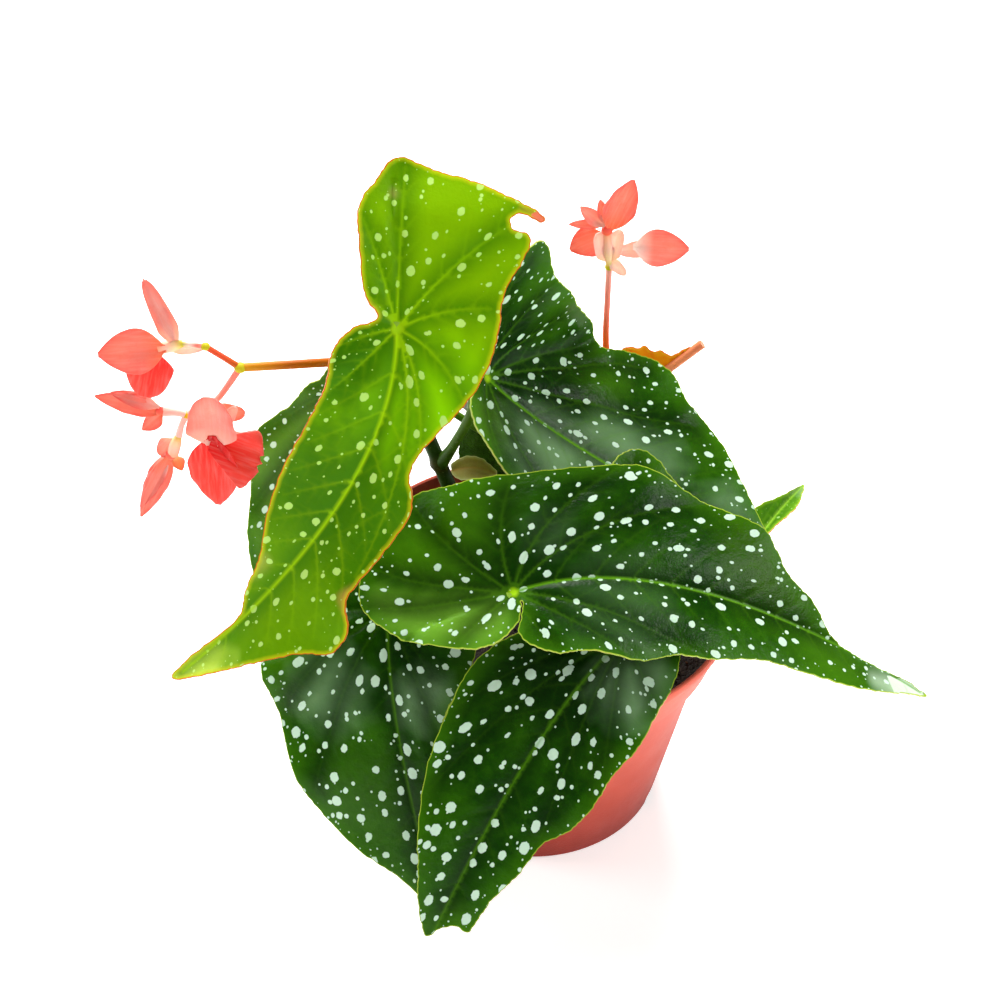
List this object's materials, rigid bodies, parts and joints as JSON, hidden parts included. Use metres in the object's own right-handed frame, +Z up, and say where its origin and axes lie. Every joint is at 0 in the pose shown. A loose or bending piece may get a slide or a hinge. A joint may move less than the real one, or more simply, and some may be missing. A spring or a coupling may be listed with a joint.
{
  "type": "potted angel wing begonia",
  "caption": "Angel wing begonia with pale-spotted wing-shaped leaves and coral blooms, growing in a plain round nursery pot.",
  "frame": {"origin": "middle of the pot's flat underside, on the surface that it stands on", "axes": "+Z up, -Y towards the front, where the large leaves hang over the rim, +X to the right seen from the front"},
  "size_m": [0.2241, 0.1658, 0.2133],
  "materials": {
    "pot_plastic": "thin terracotta-coloured nursery plastic, satin",
    "soil": "dark crumbly potting soil",
    "cane_green": "smooth green cane with brown node rings",
    "dark_leaf": "satin dark green leaf with silvery spots, brighter veins and a paler underside",
    "lime_leaf": "young lime green leaf with pale spots and a thin red margin",
    "young_leaf_orange": "thin orange unfolding leaf",
    "coral_tepal": "soft coral red tepal with a fine sparkle",
    "pale_pink": "pale salmon winged ovary, slightly translucent",
    "flower_stalk": "thin coral flower stalk with yellow-green joints",
    "dry_stipule": "papery tan sheath"
  },
  "bodies": {
    "root": {"pot": "pot_plastic", "soil": "soil", "cane_front": "cane_green", "cane_rear": "cane_green", "leaf_lime": "lime_leaf", "leaf_centre": "dark_leaf", "leaf_upper_right": "dark_leaf", "leaf_front": "dark_leaf", "leaf_lower_left": "dark_leaf", "leaf_left_rear": "dark_leaf", "leaf_under_centre": "dark_leaf", "leaf_right_tip": "lime_leaf", "leaf_rear": "dark_leaf", "leaf_inner": "dark_leaf", "young_leaf": "young_leaf_orange", "stipule": "dry_stipule", "flower_stalk_left": "flower_stalk", "flower_stalk_right": "flower_stalk", "bloom_upper_left": "coral_tepal", "bloom_lower_left": "coral_tepal", "bud_outer": "coral_tepal", "bud_lower": "coral_tepal", "bloom_right": "coral_tepal", "bloom_right_side": "coral_tepal", "ovary_upper_left": "pale_pink", "ovary_lower_left": "pale_pink", "ovary_lower": "pale_pink", "ovary_right": "pale_pink"}
  },
  "joints": []
}
